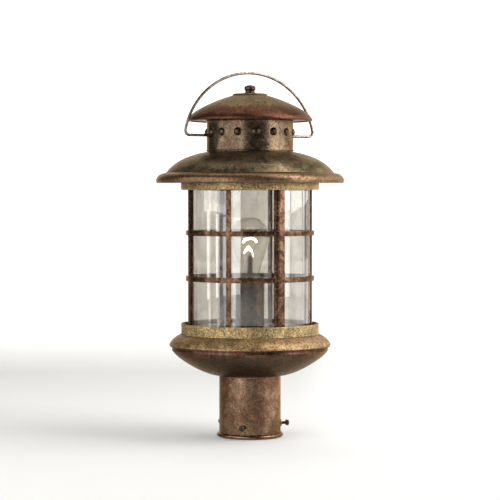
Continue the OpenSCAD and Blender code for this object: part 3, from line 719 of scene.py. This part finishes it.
make("lamp_flare", shape.verts, shape.faces, "lamp_glass", "lamp", ["lamp_stem"])
shape = Shape()
filament_z, arc_r, arc_rise = 252.0, 9.0, 5.0
for s in (-1, 1):
    shape.add(*sweep([(s * 1.6, 0, 216), (s * 1.9, 0, 232), (s * 2.6, 0, 236.5),
                      (s * (arc_r - 0.4), 0, filament_z - 1.6), (s * arc_r, 0, filament_z - 0.8)], 0.26, 10))
for a in (50, 90, 130):
    x, z = arc_r * math.cos(math.radians(a)), filament_z - 1.0 + arc_rise * math.sin(math.radians(a))
    shape.add(*sweep([(x * 0.12, 0, 233.4), (x * 0.5, 0.25, 244.0), (x, 0.1, z - 0.4), (x, 0.0, z)], 0.16, 8))
make("lamp_leads", shape.verts, shape.faces, "zinc_steel", "lamp")
turns, coil_r, coil_steps = 46, 0.62, 10
coil = []
for i in range(turns * coil_steps + 1):
    f = i / (turns * coil_steps)
    a = math.pi * f
    centre = Vector((arc_r * math.cos(a), 0, filament_z - 1.0 + arc_rise * math.sin(a)))
    out = Vector((math.cos(a), 0, math.sin(a)))
    w = 2 * math.pi * turns * f
    coil.append(centre + coil_r * (math.cos(w) * out + math.sin(w) * Vector((0, 1, 0))))
make("lamp_coil", *sweep(coil, 0.22, 7), "filament_wire", "lamp", ["lamp_filament"])

# ---------------------------------------------------------------- roof

roof_r, roof_base, crease_r, roof_top, chimney_r = 121.4, 327.3, 108.5, 367.4, 56.0
lip = [(119.4, roof_base), (120.5, roof_base + 0.1), (121.1, roof_base + 0.8)]
brim = curve((roof_r, roof_base + 3.0), (roof_r, 336.4), (115.0, 340.2), (crease_r, 340.5), 24)
dome_line = curve((crease_r - 0.4, 341.0), (98.1, 355.6), (77.0, 364.1), (chimney_r + 1.0, roof_top), 36)
outline = sheet(lip + brim + dome_line + [(52.0, roof_top)])
make("roof_shell", *lathe(outline, 256), "roof_bronze", "roof_lid", ["roof"])
outline = fillet([(87.0, roof_base), (118.8, roof_base), (118.8, roof_base + 1.2), (88.2, roof_base + 1.2),
                  (88.2, roof_base + 5.5), (87.0, roof_base + 5.5)], 0.4, 3)
make("roof_under_ring", *lathe(outline, 224), "dark_bronze", "roof_lid", ["roof_base_ring"])

chimney_in, chimney_top, stud_z, bail_z = 54.6, 408.2, 392.3, 388.1
bead_low = [(chimney_r + 0.7 * math.cos(a), roof_top + 1.75 + 0.85 * math.sin(a))
            for a in np.linspace(-1.4, 1.4, 9)]
bead_high = [(chimney_r + 0.7 * math.cos(a), chimney_top - 1.6 + 0.8 * math.sin(a))
             for a in np.linspace(-1.4, 1.4, 9)]
outline = [(chimney_in, roof_top + 0.1), (chimney_in + 0.1, roof_top), (55.2, roof_top),
           (55.2, roof_top + 0.8)] + bead_low + [
    (chimney_r, z) for z in np.linspace(roof_top + 3.2, chimney_top - 3.2, 10)] + bead_high + [
    (chimney_r, chimney_top - 0.3), (chimney_r - 0.1, chimney_top), (chimney_in, chimney_top)]
make("chimney_tube", *lathe(outline, 192), "chimney_bronze", "roof_lid", ["chimney"])


def dome_head(radius, rise, base):
    """A peened head with a slim rolled edge, spun about Z."""
    ball = (radius * radius + rise * rise) / (2 * rise)
    edge = math.asin(radius / ball)
    arc = [(ball * math.sin(edge * k / 10), base + rise - ball + ball * math.cos(edge * k / 10))
           for k in range(10, -1, -1)]
    foot = [(0, base - 0.6), (radius - 0.15, base - 0.6), (radius, base + 0.05)]
    return foot + arc[1:-1] + [(0.0, base + rise)]


stud_angles = [12 + 24 * i for i in range(15) if i != 7]
shape = Shape()
for degrees in stud_angles:
    place = on_wall(degrees, stud_z)
    shape.add(*lathe(dome_head(5.2, 2.6, chimney_r), 40), place)
    shape.add(*lathe(fillet([(0, 53.0), (1.6, 53.0), (1.6, 56.5), (0, 56.5)], 0.3), 20), place)
    shape.add(*lathe(fillet([(1.6, 53.3), (3.0, 53.3), (3.0, 54.3), (1.6, 54.3)], 0.2), 24), place)
make("stud_heads", shape.verts, shape.faces, "dark_bronze", "roof_lid", ["chimney_studs"])
shape = Shape()
for degrees in (0, 180):
    shape.add(*lathe(dome_head(5.2, 2.6, chimney_r), 40), on_wall(degrees, stud_z))
    shape.add(*lathe(fillet([(1.85, 54.0), (2.9, 54.0), (2.9, 56.0), (3.4, 56.0), (3.4, 58.2),
                            (1.85, 58.2)], 0.35), 32),
              on_wall(degrees, bail_z))
make("bail_bushings", shape.verts, shape.faces, "dark_bronze", "roof_lid", ["bail_bushes"])

# ---------------------------------------------------------------- cap and finial

cap_r, cap_hem, cap_top = 80.2, 407.0, 440.2
hem = [(cap_r - 4.0, cap_hem), (cap_r - 0.9, cap_hem), (cap_r - 0.25, cap_hem + 0.25), (cap_r, cap_hem + 0.9)]
slope = curve((cap_r, cap_hem + 2.4), (76.8, 419.9), (43.2, 434.4), (24.0, 439.6), 40)
outline = sheet(hem + slope + [(20.0, cap_top), (3.6, cap_top)])
make("cap_shell", *lathe(outline, 224), "cap_bronze", "roof_lid", ["cap"])
outline = fillet([(3.6, cap_top), (22.6, cap_top), (22.6, cap_top + 0.8), (21.0, 442.2),
                  (3.6, 442.2)], 0.4, 3)
make("cap_disc", *lathe(outline, 96), "cap_bronze", "roof_lid", ["cap_top_disc"])
outline = fillet([(3.5, 442.2), (8.6, 442.2), (8.6, 443.4), (3.5, 443.4)], 0.35, 3)
make("knob_washer", *lathe(outline, 64), "dark_bronze", "finial_seat", ["finial_washer"])
z0 = 443.4
knob = fillet([(3.2, z0), (6.9, z0), (6.3, z0 + 0.8), (5.8, z0 + 2.8), (6.8, z0 + 3.6), (7.3, z0 + 4.4),
               (7.3, z0 + 7.2), (6.7, z0 + 8.2), (4.9, z0 + 9.2), (2.0, z0 + 10.0), (0, z0 + 10.0),
               (0, z0 + 8.2), (3.2, z0 + 8.2)], 0.6, 4)
make("knob", *lathe(knob, 72), "dark_bronze", "finial_knob", ["finial"])

# ---------------------------------------------------------------- bail

arch_r, arch_z, bend_r, wire_r = 93.1, 375.7, 6.0, 1.8
bend_z = bail_z + bend_r
bend_x = math.sqrt((arch_r - bend_r) ** 2 - (bend_z - arch_z) ** 2)
bend_angle = math.atan2(bend_z - arch_z, bend_x)
path = [(x, 0, bail_z) for x in np.linspace(51.6, bend_x - 0.6, 12)]
for a in np.linspace(-math.pi / 2, bend_angle, 18):
    path.append((bend_x + bend_r * math.cos(a), 0, bend_z + bend_r * math.sin(a)))
half = [(arch_r * math.cos(a), 0, arch_z + arch_r * math.sin(a))
        for a in np.linspace(bend_angle, math.pi / 2, 60)[1:]]
path += half
path += [(-x, y, z) for x, y, z in reversed(path[:-1])]
make("bail_wire_hoop", *sweep(path, wire_r, 24), "wire_bronze", "bail_wire", ["bail"])
shape = Shape()
for degrees in (0, 180):
    rows = fillet([(1.8, 52.0), (4.2, 52.2), (4.2, 52.6), (1.8, 53.0)], 0.15)
    shape.add(*lathe(rows, 32), on_wall(degrees, bail_z))
make("bail_clips", shape.verts, shape.faces, "zinc_steel", "bail_wire", ["bail_retainers"])

# ---------------------------------------------------------------- camera, floor and lights

AIM = Vector((0.0, 0.0, 0.2409))
CAMERA_TURN, CAMERA_DISTANCE, CAMERA_HEIGHT = math.radians(26), 2.4, 0.310
TO_CAMERA = Vector((-math.sin(CAMERA_TURN), -math.cos(CAMERA_TURN), 0.0))
RIGHT = Vector((math.cos(CAMERA_TURN), -math.sin(CAMERA_TURN), 0.0))
camera_data = bpy.data.cameras.new("camera")
camera_data.sensor_width = 36.0
camera_data.lens = 133.8
camera = bpy.data.objects.new("camera", camera_data)
camera.location = AIM + TO_CAMERA * CAMERA_DISTANCE + Vector((0, 0, CAMERA_HEIGHT - AIM.z))
camera.rotation_euler = (AIM - camera.location).to_track_quat("-Z", "Y").to_euler()
bpy.context.scene.collection.objects.link(camera)
bpy.context.scene.camera = camera


def around(degrees, distance, height):
    """A place at this angle from the camera's side, turning to the right as seen."""
    a = math.radians(degrees)
    return (TO_CAMERA * math.cos(a) + RIGHT * math.sin(a)) * distance + Vector((0, 0, height))


def soft_light(name, place, aim, width, depth, level):
    """A rectangular light turned to a height on the lantern's axis; level is its brightness as seen."""
    data = bpy.data.lights.new(name, "AREA")
    data.shape = "RECTANGLE"
    data.size, data.size_y = width, depth
    data.energy = level * math.pi * width * depth
    lamp = bpy.data.objects.new(name, data)
    lamp.location = place
    lamp.rotation_euler = (Vector((0, 0, aim)) - place).to_track_quat("-Z", "Y").to_euler()
    bpy.context.scene.collection.objects.link(lamp)


def panel(name, degrees, span, distance, low, high, level):
    """An upright light that fills this span of degrees around the lantern, from low to high."""
    width = 2 * distance * math.tan(math.radians(span / 2))
    mid = (low + high) / 2
    soft_light(name, around(degrees, distance, mid), mid, width, high - low, level)


panel("soft_left_high", -54, 74, 1.25, 0.41, 1.25, 2.2)
panel("soft_left_low", -33, 32, 1.25, 0.02, 0.40, 2.6)
panel("strip_left_near", -60, 5, 1.25, 0.02, 0.40, 4.4)
panel("strip_left_far", -80, 6, 1.25, 0.02, 0.40, 3.6)
panel("soft_right_key", 64, 24, 1.3, 0.41, 1.8, 5.4)
panel("soft_right_low", 64, 24, 1.3, 0.02, 0.405, 2.6)
panel("soft_right_fill", 93, 28, 1.5, 0.41, 1.9, 3.6)
panel("soft_right_fill_low", 93, 28, 1.5, 0.02, 0.405, 1.0)
panel("soft_right_rear", 128, 34, 1.7, 0.41, 1.6, 2.3)
panel("soft_right_rear_low", 128, 34, 1.7, 0.02, 0.405, 0.6)
soft_light("soft_above", around(180, 0.5, 1.9), 0.3, 1.6, 1.2, 1.35)
soft_light("soft_right_top", around(72, 0.75, 1.45), 0.35, 0.8, 0.8, 4.2)


def studio(name, tone, deep, seed, lift, right_lift):
    """Matt paint that glows a little: lift sets how much near the lantern, right_lift adds some on its
    right, and it fades up to an even bright tone far behind."""
    t = Nodes(name)
    cloud = t.noise(0.004, 3, 0.5, shift=seed)
    colour = t.mix(cloud, tone, deep)
    away = t.math("MULTIPLY_ADD", t.x, -TO_CAMERA.x, t.math("MULTIPLY", t.y, -TO_CAMERA.y))
    aside = t.math("MULTIPLY_ADD", t.x, RIGHT.x, t.math("MULTIPLY", t.y, RIGHT.y))
    ahead = t.ramp(away, -1500.0, -700.0, 0.45, 1.0)
    beside = t.math("MULTIPLY", t.ramp(aside, 60.0, 300.0, 0.0, right_lift), t.ramp(away, -150.0, 100.0))
    near = t.math("MULTIPLY", t.math("ADD", beside, lift), ahead)
    level = t.math("MAXIMUM", near, t.ramp(away, 200.0, 2200.0, 0.0, 0.85))
    t.principled(Base_Color=colour, Roughness=0.85, Emission_Color=(1.0, 0.99, 0.97, 1.0),
                 Emission_Strength=level)
    return t.mat


def flat(name, corners, material):
    mesh = bpy.data.meshes.new(name)
    mesh.from_pydata([tuple(c) for c in corners], [], [(0, 1, 2, 3)])
    mesh.materials.append(material)
    piece = bpy.data.objects.new(name, mesh)
    bpy.context.scene.collection.objects.link(piece)


def spot(behind, aside, height):
    """A place this far behind the lantern and to its right, as seen."""
    return -TO_CAMERA * behind + RIGHT * aside + Vector((0, 0, height))


WALL_BEHIND, WALL_HALF, WALL_FOOT, WALL_TOP = 4.5, 3.0, -0.01, 4.5
FLOOR_AHEAD, FLOOR_HALF, FLOOR_LEVEL = 6.0, 6.0, -0.0006
flat("floor", [spot(WALL_BEHIND, -FLOOR_HALF, FLOOR_LEVEL), spot(WALL_BEHIND, FLOOR_HALF, FLOOR_LEVEL),
               spot(-FLOOR_AHEAD, FLOOR_HALF, FLOOR_LEVEL), spot(-FLOOR_AHEAD, -FLOOR_HALF, FLOOR_LEVEL)],
     studio("floor_paint", rgb(206, 205, 202), rgb(200, 199, 196), 1, 0.22, 0.8))
flat("backdrop", [spot(WALL_BEHIND, -WALL_HALF, WALL_FOOT), spot(WALL_BEHIND, WALL_HALF, WALL_FOOT),
                  spot(WALL_BEHIND, WALL_HALF, WALL_TOP), spot(WALL_BEHIND, -WALL_HALF, WALL_TOP)],
     studio("backdrop_paint", rgb(240, 240, 238), rgb(236, 236, 234), 2, 0.75, 0.0))

world = bpy.data.worlds.new("studio")
world.use_nodes = True
world.node_tree.nodes["Background"].inputs["Color"].default_value = (1.0, 0.97, 0.93, 1.0)
world.node_tree.nodes["Background"].inputs["Strength"].default_value = 0.09
bpy.context.scene.world = world
bpy.context.scene.view_settings.view_transform = "Standard"
